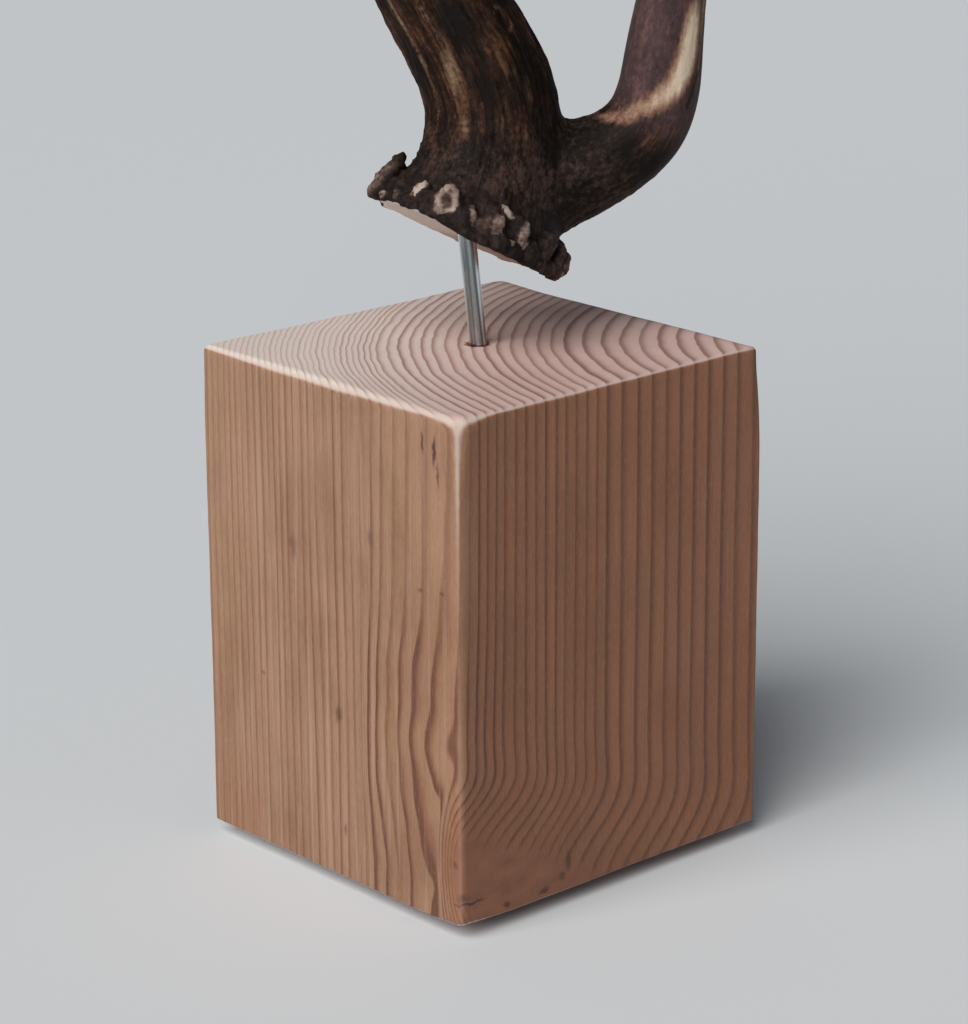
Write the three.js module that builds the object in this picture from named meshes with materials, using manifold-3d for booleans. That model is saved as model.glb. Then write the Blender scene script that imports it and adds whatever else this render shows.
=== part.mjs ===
// A shed red deer antler, held over a block of sanded softwood by a steel rod.
//
// Millimetres, +Z up. The origin is the middle of the base pad's underside, and the block's sides run
// along X and Y. The antler has a frame of its own, "the antler frame": its origin is the middle of the
// block's top, x points to the side that the brow tine grows to, and y to the side that the beam bows to.
import * as THREE from "three";
import { mergeVertices } from "three/addons/utils/BufferGeometryUtils.js";
import Module from "manifold-3d";

const wasm = await Module();
wasm.setup();

// ---- Driving dimensions -------------------------------------------------------------------------------

const GAP = 0.3; // clearance between pieces that touch

const BLOCK = { width: 117, depth: 109.5, height: 146, round: 3 };
const PAD = { inset: 10, thickness: 4, round: 6 };
const ROD = { diameter: 5, inBlock: 55, showing: 29, inAntler: 30, chamfer: 0.5 };
const ROD_FOOT = new THREE.Vector3(-1, 0, 0); // where the rod leaves the block's top, in the antler frame
const ROD_LEAN = THREE.MathUtils.degToRad(5.5); // towards -x, going up

const ANTLER_TURN = THREE.MathUtils.degToRad(-42); // of the antler frame about Z

// The cut under the burr: its middle, and the way that its upper side faces.
const CUT_MIDDLE = new THREE.Vector3(-4.5, 0, 32);
const CUT_LEAN = THREE.MathUtils.degToRad(24); // of its upward normal towards +x
const CUT_TIP = THREE.MathUtils.degToRad(16); // of its upward normal towards +y
const SAW_DEPTH = 6; // the beam is made this much longer at its foot, then sawn off
const SAW = { side: 120, thickness: 40 }; // of the slab of space that the saw takes away

// The burr, a ring of pearls round the beam's foot. Angles go round it from the brow tine's side.
const BURR_RADIUS = 25.2;
// The pearls of the front: angle in degrees, height above the cut, and size.
const FRONT_PEARLS = [
  [199, 7.5, 6.4],
  [207, 1.5, 5],
  [219, 2.2, 3],
  [230, 4.6, 3.8],
  [254, 3.2, 5.4],
  [268, 3, 4.4],
  [283, 3.6, 4.6],
  [301, 4, 4.8],
  [318, 2.6, 5.2],
  [338, 2.2, 4.6],
  [356, 2, 4.8],
];
const BACK_PEARLS = { count: 12, from: 16, to: 184, height: 4, size: 4.3 };

// Points that the middle of each limb grows through, from its foot to its tip, in the antler frame.
// A tine starts on the beam's own middle line, and the beam is cut out of its foot.
const BEAM_POINTS = [
  [0.6, 3.6, 44],
  [3.4, 6, 56],
  [2.6, 8, 69],
  [-2.4, 9.5, 81],
  [-10.8, 11, 95],
  [-30, 15, 128],
  [-53, 21, 174],
  [-76, 28, 232],
  [-91, 33, 298],
  [-95, 34, 366],
  [-88, 29, 434],
  [-71, 19, 499],
  [-48, 6, 560],
  [-22, -8, 618],
];
const BROW_POINTS = [
  [4, 6, 43],
  [18, 8, 46],
  [30, 9, 49.8],
  [39.8, 9.5, 55],
  [46.8, 10, 62],
  [50.3, 10, 71],
  [51.7, 10, 81],
  [53.3, 10, 95],
  [56, 10, 112],
  [57.5, 9, 131],
  [57, 7, 150],
  [54, 4, 168],
  [49.5, 1, 184],
];
const TREZ_POINTS = [
  [-70, 35, 314],
  [-44, 39, 338],
  [-24, 42, 374],
  [-12, 41, 419],
];
const FORK_POINTS = [
  [-84, 22, 532],
  [-95, 24, 572],
  [-98, 19, 612],
];
const TREZ_FOOT = 0.475; // share of the beam's length at which a tine leaves it
const FORK_FOOT = 0.785;

// Radius of each limb, as pairs of a distance from its foot and the radius there.
const BEAM_RADII = [
  [0, 26],
  [6, 27],
  [12, 27],
  [16, 24.5],
  [21, 21.8],
  [30, 20.2],
  [42, 19.2],
  [56, 18.2],
  [78, 17.1],
  [200, 16.3],
  [310, 15.8],
  [400, 14.3],
  [480, 13.2],
  [530, 11.4],
  [570, 8.8],
  [605, 5.4],
  [630, 2.4],
];
const BROW_RADII = [
  [0, 19],
  [10, 18],
  [18, 15.8],
  [28, 13.9],
  [38, 12.5],
  [50, 11.6],
  [66, 10.4],
  [82, 9.2],
  [110, 7.6],
  [140, 5.6],
  [165, 3.2],
  [174, 2],
];
const TREZ_RADII = [
  [0, 13],
  [25, 11.2],
  [60, 9.4],
  [105, 6.6],
  [140, 3.4],
  [155, 1.8],
];
const FORK_RADII = [
  [0, 11],
  [30, 9.6],
  [65, 7.4],
  [100, 4],
  [120, 1.8],
];

const BEAM_FLUTES = 7; // shallow furrows that run up the beam and wind a little round it
const TINE_FLUTES = 5;
const FLUTE_DEPTH = 0.7;
const FLUTE_TWIST = 0.004; // radians for each millimetre
const FLUTE_SWAY = 35; // mm in which the shallower flutes sway by one radian
const FLUTE_FADE = 8; // radius under which the flutes get shallower, towards a tip

const BEAM_MESH = { sides: 28, rings: 54, crowd: 1.4 }; // crowd above 1 brings the rings closer at the foot
const TINE_MESH = { sides: 18, rings: 22, crowd: 1 };
const BROW_MESH = { sides: 20, rings: 30, crowd: 1 };

// ---- Solids -------------------------------------------------------------------------------------------

/** The manifold solid of a closed three.js geometry, whose shared corners are merged first. */
function solidOf(geometry) {
  const bare = geometry.clone();
  bare.deleteAttribute("normal");
  bare.deleteAttribute("uv");
  const merged = mergeVertices(bare, 1e-4);
  return new wasm.Manifold(
    new wasm.Mesh({
      numProp: 3,
      vertProperties: merged.attributes.position.array,
      triVerts: new Uint32Array(merged.index.array),
    }),
  );
}

/** The three.js geometry of a manifold solid. */
function geometryOf(solid) {
  const { vertProperties, triVerts } = solid.getMesh();
  const geometry = new THREE.BufferGeometry();
  geometry.setAttribute("position", new THREE.BufferAttribute(vertProperties, 3));
  geometry.setIndex(new THREE.BufferAttribute(triVerts, 1));
  geometry.computeVertexNormals();
  return geometry;
}

/** A rectangle with round corners, about the origin. */
function roundRectangle(width, depth, radius) {
  const x = width / 2;
  const y = depth / 2;
  const shape = new THREE.Shape();
  shape.absarc(x - radius, y - radius, radius, 0, Math.PI / 2);
  shape.absarc(radius - x, y - radius, radius, Math.PI / 2, Math.PI);
  shape.absarc(radius - x, radius - y, radius, Math.PI, 1.5 * Math.PI);
  shape.absarc(x - radius, radius - y, radius, 1.5 * Math.PI, 2 * Math.PI);
  return shape;
}

/** A round bar from one point to another; `chamfer` bevels its ends. */
function bar(from, to, radius, chamfer = 0, sides = 32) {
  const length = from.distanceTo(to);
  const profile = [
    new THREE.Vector2(0, 0),
    new THREE.Vector2(radius - chamfer, 0),
    new THREE.Vector2(radius, chamfer),
    new THREE.Vector2(radius, length - chamfer),
    new THREE.Vector2(radius - chamfer, length),
    new THREE.Vector2(0, length),
  ].filter((point, i, all) => i === 0 || point.distanceTo(all[i - 1]) > 1e-6);
  const geometry = new THREE.LatheGeometry(profile, sides);
  const direction = to.clone().sub(from).normalize();
  geometry.applyQuaternion(new THREE.Quaternion().setFromUnitVectors(new THREE.Vector3(0, 1, 0), direction));
  return geometry.translate(from.x, from.y, from.z);
}

// ---- Limbs of the antler ------------------------------------------------------------------------------

/** A smooth function through pairs of a distance and a value. */
function smoothThrough(pairs) {
  const curve = new THREE.CubicInterpolant(
    pairs.map(([distance]) => distance),
    pairs.map(([, value]) => value),
    1,
  );
  return (distance) => curve.evaluate(distance)[0];
}

/** The height of the flutes at an angle round a limb, `distance` up from its foot. */
function fluting(count, depth) {
  return (angle, distance) => {
    const turned = angle + FLUTE_TWIST * distance;
    const waves = Math.cos(count * turned) + 0.5 * Math.cos((count - 3) * turned + distance / FLUTE_SWAY);
    return (depth * waves) / 1.5;
  };
}

/**
 * One limb: a capped cylinder, bent along `path` and given its radius and relief at each ring.
 * `grow` makes it thicker all round, to cut a seat for it with clearance.
 */
function limb(path, radii, relief, { sides, rings, crowd }, grow = 0) {
  const steps = 400; // in which the path's frames are worked out
  const frames = path.computeFrenetFrames(steps, false);
  const length = path.getLength();
  const radiusAt = smoothThrough(radii);
  const lastStation = radii.at(-1)[0];
  const geometry = new THREE.CylinderGeometry(1, 1, 1, sides, rings);
  const position = geometry.attributes.position;
  const corner = new THREE.Vector3();
  for (let i = 0; i < position.count; i++) {
    corner.fromBufferAttribute(position, i);
    const share = Math.min(1, Math.max(0, corner.y + 0.5)) ** crowd;
    const step = Math.round(share * steps);
    const angle = Math.atan2(-corner.z, corner.x);
    const distance = share * length;
    const thin = radiusAt(Math.min(distance, lastStation));
    const fade = Math.min(1, thin / FLUTE_FADE);
    const radius = Math.hypot(corner.x, corner.z) * (thin + relief(angle, distance) * fade + grow);
    corner
      .copy(path.getPointAt(step / steps))
      .addScaledVector(frames.normals[step], radius * Math.cos(angle))
      .addScaledVector(frames.binormals[step], radius * Math.sin(angle));
    position.setXYZ(i, corner.x, corner.y, corner.z);
  }
  return solidOf(geometry);
}

const vectors = (points) => points.map((point) => new THREE.Vector3(...point));

const cutNormal = new THREE.Vector3(
  Math.sin(CUT_LEAN) * Math.cos(CUT_TIP),
  Math.sin(CUT_TIP),
  Math.cos(CUT_LEAN) * Math.cos(CUT_TIP),
);
const cutTurn = new THREE.Quaternion().setFromUnitVectors(new THREE.Vector3(0, 0, 1), cutNormal);
const beamFoot = CUT_MIDDLE.clone().addScaledVector(cutNormal, -SAW_DEPTH);
const beamPath = new THREE.CatmullRomCurve3([beamFoot, CUT_MIDDLE, ...vectors(BEAM_POINTS)]);
const browPath = new THREE.CatmullRomCurve3(vectors(BROW_POINTS));
const trezPath = new THREE.CatmullRomCurve3([beamPath.getPointAt(TREZ_FOOT), ...vectors(TREZ_POINTS)]);
const forkPath = new THREE.CatmullRomCurve3([beamPath.getPointAt(FORK_FOOT), ...vectors(FORK_POINTS)]);

const beamRelief = fluting(BEAM_FLUTES, FLUTE_DEPTH);
const tineRelief = fluting(TINE_FLUTES, FLUTE_DEPTH / 2);

/** A point on the burr, at an angle round it from the brow tine's side and a height above the cut. */
function onBurr(angle, radius, height) {
  return new THREE.Vector3(radius * Math.cos(angle), radius * Math.sin(angle), height)
    .applyQuaternion(cutTurn)
    .add(CUT_MIDDLE);
}

/**
 * The burr's pearls: those of the front where they are, and a row of uneven ones round the back.
 * `grow` makes them larger, to cut a seat for them with clearance.
 */
function pearls(grow = 0) {
  const { count, from, to, height, size } = BACK_PEARLS;
  const back = Array.from({ length: count }, (_, i) => [
    from + ((to - from) * (i + 0.2 * Math.sin(i * 2.4))) / (count - 1),
    height + 1.6 * Math.cos(i * 2.9),
    size * (1 + 0.2 * Math.sin(i * 4.1)),
  ]);
  return [...FRONT_PEARLS, ...back].map(([degrees, level, radius]) => {
    const angle = THREE.MathUtils.degToRad(degrees);
    const middle = onBurr(angle, BURR_RADIUS, level);
    const lump = new THREE.SphereGeometry(radius + grow, 8, 5).rotateX(Math.PI / 2).scale(1, 0.9, 1.2);
    lump.rotateZ(angle).applyQuaternion(cutTurn).translate(middle.x, middle.y, middle.z);
    return solidOf(lump);
  });
}

/** The saw that levels the burr's underside: a slab whose top face is the cut. */
function saw() {
  const slab = new THREE.BoxGeometry(SAW.side, SAW.side, SAW.thickness).translate(0, 0, -SAW.thickness / 2);
  slab.applyQuaternion(cutTurn).translate(CUT_MIDDLE.x, CUT_MIDDLE.y, CUT_MIDDLE.z);
  return solidOf(slab);
}

// ---- Rod ----------------------------------------------------------------------------------------------

const rodDirection = new THREE.Vector3(-Math.sin(ROD_LEAN), 0, Math.cos(ROD_LEAN));
const alongRod = (distance) => ROD_FOOT.clone().addScaledVector(rodDirection, distance);
const rodBottom = alongRod(-ROD.inBlock);
const rodTop = alongRod(ROD.showing + ROD.inAntler);

/** What is drilled for the rod: its own line, wider and deeper by the gap. */
const drill = () =>
  bar(alongRod(-ROD.inBlock - GAP), alongRod(ROD.showing + ROD.inAntler + GAP), ROD.diameter / 2 + GAP);

// ---- Materials ----------------------------------------------------------------------------------------

const wood = new THREE.MeshStandardMaterial({ color: "#c9a07c", roughness: 0.75, metalness: 0 });
const rubber = new THREE.MeshStandardMaterial({ color: "#1c1b1b", roughness: 0.9, metalness: 0 });
const steel = new THREE.MeshStandardMaterial({ color: "#c4c6c8", roughness: 0.25, metalness: 1 });
const antlerBark = new THREE.MeshStandardMaterial({ color: "#3b2a20", roughness: 0.5, metalness: 0 });

// ---- The pieces ---------------------------------------------------------------------------------------

const object = new THREE.Group();
const antler = new THREE.Group(); // holds the antler frame
antler.position.z = PAD.thickness + GAP + BLOCK.height;
antler.rotation.z = ANTLER_TURN;
object.add(antler);

function place(name, geometry, material, group = object) {
  const mesh = new THREE.Mesh(geometry, material);
  mesh.name = name;
  group.add(mesh);
  return mesh;
}

function basePad() {
  const outline = roundRectangle(BLOCK.width - 2 * PAD.inset, BLOCK.depth - 2 * PAD.inset, PAD.round);
  return new THREE.ExtrudeGeometry(outline, {
    depth: PAD.thickness,
    bevelEnabled: false,
    curveSegments: 6,
  });
}

function woodBlock() {
  const body = new THREE.ExtrudeGeometry(roundRectangle(BLOCK.width, BLOCK.depth, BLOCK.round), {
    depth: BLOCK.height - 2 * BLOCK.round,
    bevelSize: BLOCK.round - 0.01,
    bevelOffset: 0.01 - BLOCK.round,
    bevelThickness: BLOCK.round,
    bevelSegments: 4,
    curveSegments: 5,
  }).translate(0, 0, PAD.thickness + GAP + BLOCK.round);
  const hole = drill().rotateZ(ANTLER_TURN).translate(0, 0, antler.position.z);
  return geometryOf(solidOf(body).subtract(solidOf(hole)));
}

function antlerBeam() {
  let beam = limb(beamPath, BEAM_RADII, beamRelief, BEAM_MESH);
  for (const pearl of pearls()) beam = beam.add(pearl);
  return geometryOf(beam.subtract(saw()).subtract(solidOf(drill())));
}

/** The beam as a tine's seat sees it: thicker by the clearance. */
const beamSeat = limb(beamPath, BEAM_RADII, beamRelief, BEAM_MESH, GAP);

function tine(path, radii, mesh) {
  return limb(path, radii, tineRelief, mesh).subtract(beamSeat);
}

function browTine() {
  let root = tine(browPath, BROW_RADII, BROW_MESH);
  for (const pearl of pearls(GAP)) root = root.subtract(pearl);
  return geometryOf(root.subtract(saw()));
}

place("base_pad", basePad(), rubber);
place("wood_block", woodBlock(), wood);
place("steel_rod", bar(rodBottom, rodTop, ROD.diameter / 2, ROD.chamfer), steel, antler);
place("antler_beam", antlerBeam(), antlerBark, antler);
place("brow_tine", browTine(), antlerBark, antler);
place("trez_tine", geometryOf(tine(trezPath, TREZ_RADII, TINE_MESH)), antlerBark, antler);
place("fork_tine", geometryOf(tine(forkPath, FORK_RADII, TINE_MESH)), antlerBark, antler);

export default object;
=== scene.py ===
# A shed red deer antler, held over a block of sanded softwood by a steel rod.
# Metres, +Z up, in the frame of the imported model: the origin is the middle of the pad's underside.
import itertools
import math

import bpy
import numpy as np
from mathutils import Matrix, Vector


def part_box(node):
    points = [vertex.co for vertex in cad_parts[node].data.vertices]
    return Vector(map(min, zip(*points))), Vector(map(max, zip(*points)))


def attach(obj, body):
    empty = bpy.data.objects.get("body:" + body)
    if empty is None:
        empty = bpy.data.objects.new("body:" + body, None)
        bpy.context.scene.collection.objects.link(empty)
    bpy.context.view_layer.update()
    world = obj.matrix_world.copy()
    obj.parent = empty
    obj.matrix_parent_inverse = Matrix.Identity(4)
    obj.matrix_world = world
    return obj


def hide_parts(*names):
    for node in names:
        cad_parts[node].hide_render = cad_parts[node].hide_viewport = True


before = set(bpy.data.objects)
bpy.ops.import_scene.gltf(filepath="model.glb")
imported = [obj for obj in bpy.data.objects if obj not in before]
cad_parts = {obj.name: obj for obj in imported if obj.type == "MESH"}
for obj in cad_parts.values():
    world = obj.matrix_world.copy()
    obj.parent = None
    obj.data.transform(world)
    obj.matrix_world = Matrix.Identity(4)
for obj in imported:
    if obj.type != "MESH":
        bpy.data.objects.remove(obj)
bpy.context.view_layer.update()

MM = 0.001

# ---- The block -----------------------------------------------------------------------------------------
# A length of close-grown softwood, sawn square, sanded, its rims rounded by hand and left unfinished.
# Its heart lies outside it, past the corner of the +X and -Y sides, and a branch ran out through the
# bottom of the front corner. A hole is drilled in the top for the rod.

ROD = {"radius": 2.5 * MM, "in_block": 55 * MM, "showing": 29 * MM, "in_antler": 30 * MM, "lean": 5.5}
HOLE_ROOM = 0.25 * MM  # of the drilled hole round the rod
ANTLER_TURN = math.radians(-42)  # of the antler's own frame about Z
BLOCK_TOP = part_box("wood_block")[1].z

# The antler's own frame: its origin is the middle of the block's top.
antler_frame = Matrix.Translation((0, 0, BLOCK_TOP)) @ Matrix.Rotation(ANTLER_TURN, 4, "Z")
rod_foot = antler_frame @ Vector((-1 * MM, 0, 0))
rod_way = antler_frame.to_3x3() @ Vector(
    (-math.sin(math.radians(ROD["lean"])), 0, math.cos(math.radians(ROD["lean"])))
)


def noise(points, size, seed):
    """Smooth noise from -1 to 1 at each of the points, with lumps of that size along each axis."""
    random = np.random.default_rng(seed)
    table = random.permutation(256)
    slopes = random.normal(size=(256, 3))
    slopes /= np.linalg.norm(slopes, axis=1, keepdims=True)
    scaled = points / np.broadcast_to(size, 3)
    cell = np.floor(scaled).astype(int)
    part = scaled - cell
    fade = part**3 * (part * (part * 6 - 15) + 10)
    total = np.zeros(len(points))
    for corner in itertools.product((0, 1), repeat=3):
        x, y, z = (cell + corner).T
        key = table[(table[(table[x & 255] + y) & 255] + z) & 255]
        weight = np.prod(np.where(corner, fade, 1 - fade), axis=1)
        total += weight * (slopes[key] * (part - corner)).sum(axis=1)
    return 1.6 * total


def smooth(low, high, value):
    """0 below low, 1 above high, and a smooth rise between."""
    share = np.clip((value - low) / (high - low), 0, 1)
    return share * share * (3 - 2 * share)


def new_object(name, points, faces):
    """An object of these corners and faces, smooth-shaded."""
    mesh = bpy.data.meshes.new(name)
    loops = faces.tolist() if isinstance(faces, np.ndarray) else faces
    mesh.from_pydata(np.asarray(points).tolist(), [], loops)
    mesh.shade_smooth()
    thing = bpy.data.objects.new(name, mesh)
    bpy.context.scene.collection.objects.link(thing)
    return thing


def corners_of(mesh):
    """The mesh's corners, one row each."""
    flat = np.empty(len(mesh.vertices) * 3)
    mesh.vertices.foreach_get("co", flat)
    return flat.reshape(-1, 3)


def set_values(mesh, name, values, kind="FLOAT"):
    """Stores a value, or with kind FLOAT_VECTOR a vector, for each corner."""
    layer = mesh.attributes.new(name, kind, "POINT")
    field = "value" if kind == "FLOAT" else "vector"
    layer.data.foreach_set(field, np.asarray(values, dtype=np.float32).ravel())


def bake_modifiers(thing):
    """Turns what the modifiers make into the object's own mesh, and takes them off."""
    seen = thing.evaluated_get(bpy.context.evaluated_depsgraph_get())
    made = bpy.data.meshes.new_from_object(seen)
    thing.modifiers.clear()
    thing.data = made


def round_bar(name, start, way, profile, sides=64):
    """A turned bar: the profile gives its radius at distances from start, along way."""
    way = way.normalized()
    turn = Vector((0, 0, 1)).rotation_difference(way)
    rings = [
        [start + turn @ Vector((r * math.cos(a), r * math.sin(a), d)) for a in
         np.linspace(0, 2 * math.pi, sides, endpoint=False)]
        for d, r in profile
    ]
    points = [corner for ring in rings for corner in ring]
    faces = []
    for i in range(len(profile) - 1):
        for j in range(sides):
            a, b = i * sides + j, i * sides + (j + 1) % sides
            faces.append((a, b, b + sides, a + sides))
    first, last = len(points), len(points) + 1
    points += [start + way * profile[0][0], start + way * profile[-1][0]]
    base = (len(profile) - 1) * sides
    for j in range(sides):
        k = (j + 1) % sides
        faces += [(first, k, j), (last, base + j, base + k)]
    return new_object(name, points, faces)


def cut_out(thing, tool):
    """Takes the tool's shape out of the object, and throws the tool away."""
    cut = thing.modifiers.new("cut", "BOOLEAN")
    cut.operation, cut.solver, cut.object = "DIFFERENCE", "MANIFOLD", tool
    bake_modifiers(thing)
    bpy.data.objects.remove(tool)


def grid_places(low, high, fine, coarse, growth):
    """Places from low to high, fine apart at both ends and growing to coarse in the middle."""
    steps = [fine]
    while sum(steps) < (high - low) / 2:
        steps.append(min(coarse, steps[-1] * growth))
    near = np.cumsum([0, *steps]) * ((high - low) / 2 / sum(steps))
    return np.concatenate([low + near, (high - near)[-2::-1]])


def box_surface(xs, ys, zs):
    """Corners and outward faces of a box's surface, on a grid through these places."""
    on_surface = np.zeros((len(xs), len(ys), len(zs)), bool)
    on_surface[[0, -1]] = on_surface[:, [0, -1]] = on_surface[:, :, [0, -1]] = True
    number = np.cumsum(on_surface).reshape(on_surface.shape) - 1
    i, j, k = np.nonzero(on_surface)
    faces = []
    for axis, end in itertools.product(range(3), (0, -1)):
        side = np.take(number, end, axis=axis)
        loops = np.stack([side[:-1, :-1], side[1:, :-1], side[1:, 1:], side[:-1, 1:]], axis=-1)
        inward = (end == 0) != (axis == 1)
        faces.append(loops.reshape(-1, 4)[:, :: -1 if inward else 1])
    return np.column_stack([xs[i], ys[j], zs[k]]), np.concatenate(faces)


# Radius of the rims in mm: of all of them, and how much more at the top, down the front edge, at the front
# corner of the top and along the left of the top.
RIM = {"all": 1.1, "top": 0.9, "front": 1.6, "corner": 1.5, "left": 1.5}
RIM_WEAR = 0.22  # of a rim's radius, which comes and goes along it
DIPS = 0.16 * MM  # of the sides, long and shallow
DENTS = 0.05 * MM
SAW_RAN_OFF = 1.1 * MM  # at the top of the +X side, which falls away there
BLOCK_GRID = (0.35 * MM, 1.7 * MM, 1.16)  # fine steps at the rims, coarse ones between, and their growth


def block_mesh():
    """The sanded block: a box with its rims rounded more where hands wore them, and slightly uneven sides."""
    low, high = (np.array(corner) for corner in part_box("wood_block"))
    middle, half = (low + high) / 2, (high - low) / 2
    places = [grid_places(-h, h, *BLOCK_GRID) for h in half]
    local, faces = box_surface(*places)
    share = local / half  # -1 to 1 along each axis
    top = smooth(0.7, 1, share[:, 2])
    front = smooth(0.75, 1, -share[:, 0]) * smooth(0.75, 1, -share[:, 1])
    left = smooth(0.7, 1, -share[:, 0]) * (1 - share[:, 1] ** 2)
    radius = MM * (
        RIM["all"] + RIM["top"] * top + RIM["front"] * front + RIM["corner"] * front * top
        + RIM["left"] * left * top
    )
    radius *= 1 + RIM_WEAR * noise(local, 17 * MM, 3)
    core = half - radius[:, None]
    inner = np.clip(local, -core, core)
    outward = local - inner
    outward /= np.linalg.norm(outward, axis=1, keepdims=True)
    sunk = DIPS * (1 + noise(local, (30 * MM, 30 * MM, 55 * MM), 4))
    sunk += DENTS * (1 + noise(local, 6 * MM, 5))
    falls = smooth(0.55, 1, share[:, 2]) * smooth(0.9, 1, share[:, 0]) * smooth(-1.2, -0.6, -share[:, 1])
    sunk += SAW_RAN_OFF * falls
    points = middle + inner + outward * (radius - sunk)[:, None]
    block = new_object("sanded_block", points, faces)
    set_values(block.data, "end_grain", np.abs(outward[:, 2]))
    set_values(block.data, "rim", (1 - np.abs(outward).max(axis=1)) / (1 - math.sqrt(0.5)))
    return block


COUNTERSINK = 0.7 * MM
CLEAR = 8 * MM  # that the drill stands out of the block

block = block_mesh()
hole_end = -ROD["in_block"] - HOLE_ROOM
hole_radius = ROD["radius"] + HOLE_ROOM
cut_out(block, round_bar("drill", rod_foot, rod_way, [
    (hole_end, hole_radius), (-COUNTERSINK, hole_radius),
    (0.6 * MM, hole_radius + COUNTERSINK), (CLEAR, hole_radius + COUNTERSINK),
]))


class Wire:
    """A socket of a material's nodes. Sums on wires add Math nodes, and make() adds any other node."""

    def __init__(self, tree, socket=None):
        self.tree = tree
        self.socket = socket

    def make(self, kind, settings=None, inputs=None, output=0):
        """A new node of that type, its settings and then its sockets set. Gives one of its outputs."""
        node = self.tree.nodes.new("ShaderNode" + kind)
        for name, value in (settings or {}).items():
            if name == "stops":
                stops = node.color_ramp.elements
                stops.remove(stops[1])
                stops[0].position, stops[0].color = value[0][0], (*value[0][1], 1)
                for place, colour in value[1:]:
                    stops.new(place).color = (*colour, 1)
            else:
                setattr(node, name, value)
        for key, value in (inputs or {}).items():
            socket = node.inputs[key]
            if isinstance(value, Wire):
                self.tree.links.new(value.socket, socket)
            elif socket.type == "RGBA":
                socket.default_value = (*value, 1)
            else:
                socket.default_value = value
        return Wire(self.tree, node.outputs[output])

    def math(self, operation, *values):
        return self.make("Math", {"operation": operation}, dict(enumerate(values)))

    def __add__(self, other):
        return self.math("ADD", self, other)

    def __sub__(self, other):
        return self.math("SUBTRACT", self, other)

    def __rsub__(self, other):
        return self.math("SUBTRACT", other, self)

    def __mul__(self, other):
        return self.math("MULTIPLY", self, other)

    def __truediv__(self, other):
        return self.math("DIVIDE", self, other)

    def __rtruediv__(self, other):
        return self.math("DIVIDE", other, self)

    def __pow__(self, power):
        return self.math("POWER", self, power)

    __radd__ = __add__
    __rmul__ = __mul__

    def rise(self, low, high):
        """0 below low, 1 above high, and a smooth rise between."""
        settings = {"interpolation_type": "SMOOTHSTEP"}
        return self.make("MapRange", settings, {"Value": self, "From Min": low, "From Max": high})

    def blend(self, share, other):
        """This colour mixed with another by a share."""
        return self.make("Mix", {"data_type": "RGBA"}, {0: share, 6: self, 7: other}, 2)

    def scaled(self, factors):
        """This vector, each part times its factor."""
        return self.make("VectorMath", {"operation": "MULTIPLY"}, {0: self, 1: factors})

    def noise(self, size, detail=2.0, roughness=0.5):
        """Noise from 0 to 1 at this position, with lumps of that size along each axis."""
        at = self.scaled(tuple(1 / s for s in size))
        return at.make("TexNoise", {}, {"Vector": at, "Scale": 1.0, "Detail": detail, "Roughness": roughness})

    def parts(self):
        """This vector's x, y and z."""
        return [self.make("SeparateXYZ", {}, {0: self}, i) for i in range(3)]

    def ramp(self, *stops):
        """The colour at this value, between stops that each have a place and a colour."""
        return self.make("ValToRGB", {"stops": stops}, {0: self})

    def place(self):
        """Where on the object the surface is, in mm."""
        return self.make("TexCoord", {}, {}, "Object").scaled((1000, 1000, 1000))

    def value(self, name, output="Fac"):
        """What the mesh stores for its corners under that name."""
        return self.make("Attribute", {"attribute_name": name}, {}, output)


def new_material(name):
    """An empty material, and a wire to build its nodes from."""
    material = bpy.data.materials.new(name)
    material.use_nodes = True
    material.node_tree.nodes.clear()
    return material, Wire(material.node_tree)


def finish_material(wire, sockets):
    """Ends a material in one shader with these sockets."""
    shader = wire.make("BsdfPrincipled", {}, sockets)
    end = wire.tree.nodes.new("ShaderNodeOutputMaterial")
    wire.tree.links.new(shader.socket, end.inputs["Surface"])


HEART = (89.0, -78.0)  # where the tree's heart was, in mm from the block's middle
# Distances from the heart, in mm, at which the tree began to grow slower, and its rings' spacing from there.
GROWTH = [(0.0, 5.3), (95.7, 3.74), (132.6, 3.1), (148.5, 1.68)]
BLOCK_FOOT = 5.4  # mm above the floor, from which heights in the block are taken
# How the rings stray from circles: sizes of the bends along x, y and z, and how far they go, in mm.
WANDER = ((46, 46, 230), 3.4)
RIPPLE = ((10, 10, 130), 1.3)
CURLS = ((60, 60, 26), 2.0)
SWELLING = {"z": 50.0, "half": 24.0, "reach": 1.3}  # mm
# The branch: its middle and slope, its radius, how flat it is, and how far it draws the rings out, in mm.
BRANCH = {
    "y": -57.0, "z": 15.0, "at_x": -57.0, "slope": 0.51, "radius": 11.5, "flatness": 2.3, "pull": 17.0,
    "shoulder": 1.2,
}
# Colours of the wood. Those in pairs run from one to the other.
HEARTWOOD = (0.3, (0.27, 0.111, 0.055)), (0.7, (0.345, 0.147, 0.076))
SAPWOOD = (0.3, (0.275, 0.145, 0.080)), (0.5, (0.335, 0.190, 0.112)), (0.7, (0.375, 0.210, 0.132))
KNOT_WOOD = (0.3, (0.30, 0.125, 0.070)), (0.7, (0.20, 0.082, 0.048))
END_WOOD = (0.3, (0.585, 0.395, 0.350)), (0.7, (0.655, 0.465, 0.42))
LATE_WOOD, RING_EDGE = (0.215, 0.084, 0.040), (0.118, 0.040, 0.018)
END_LATE_WOOD, END_RING_EDGE = (0.38, 0.20, 0.165), (0.20, 0.088, 0.07)
# The first of the next three colours is both bleached wood and a painted sheen of light.
BLEACH_AND_PAINTED_SHEEN, END_PORE, SANDED_RIM = (0.80, 0.70, 0.635), (0.36, 0.22, 0.175), (0.60, 0.49, 0.42)
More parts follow.
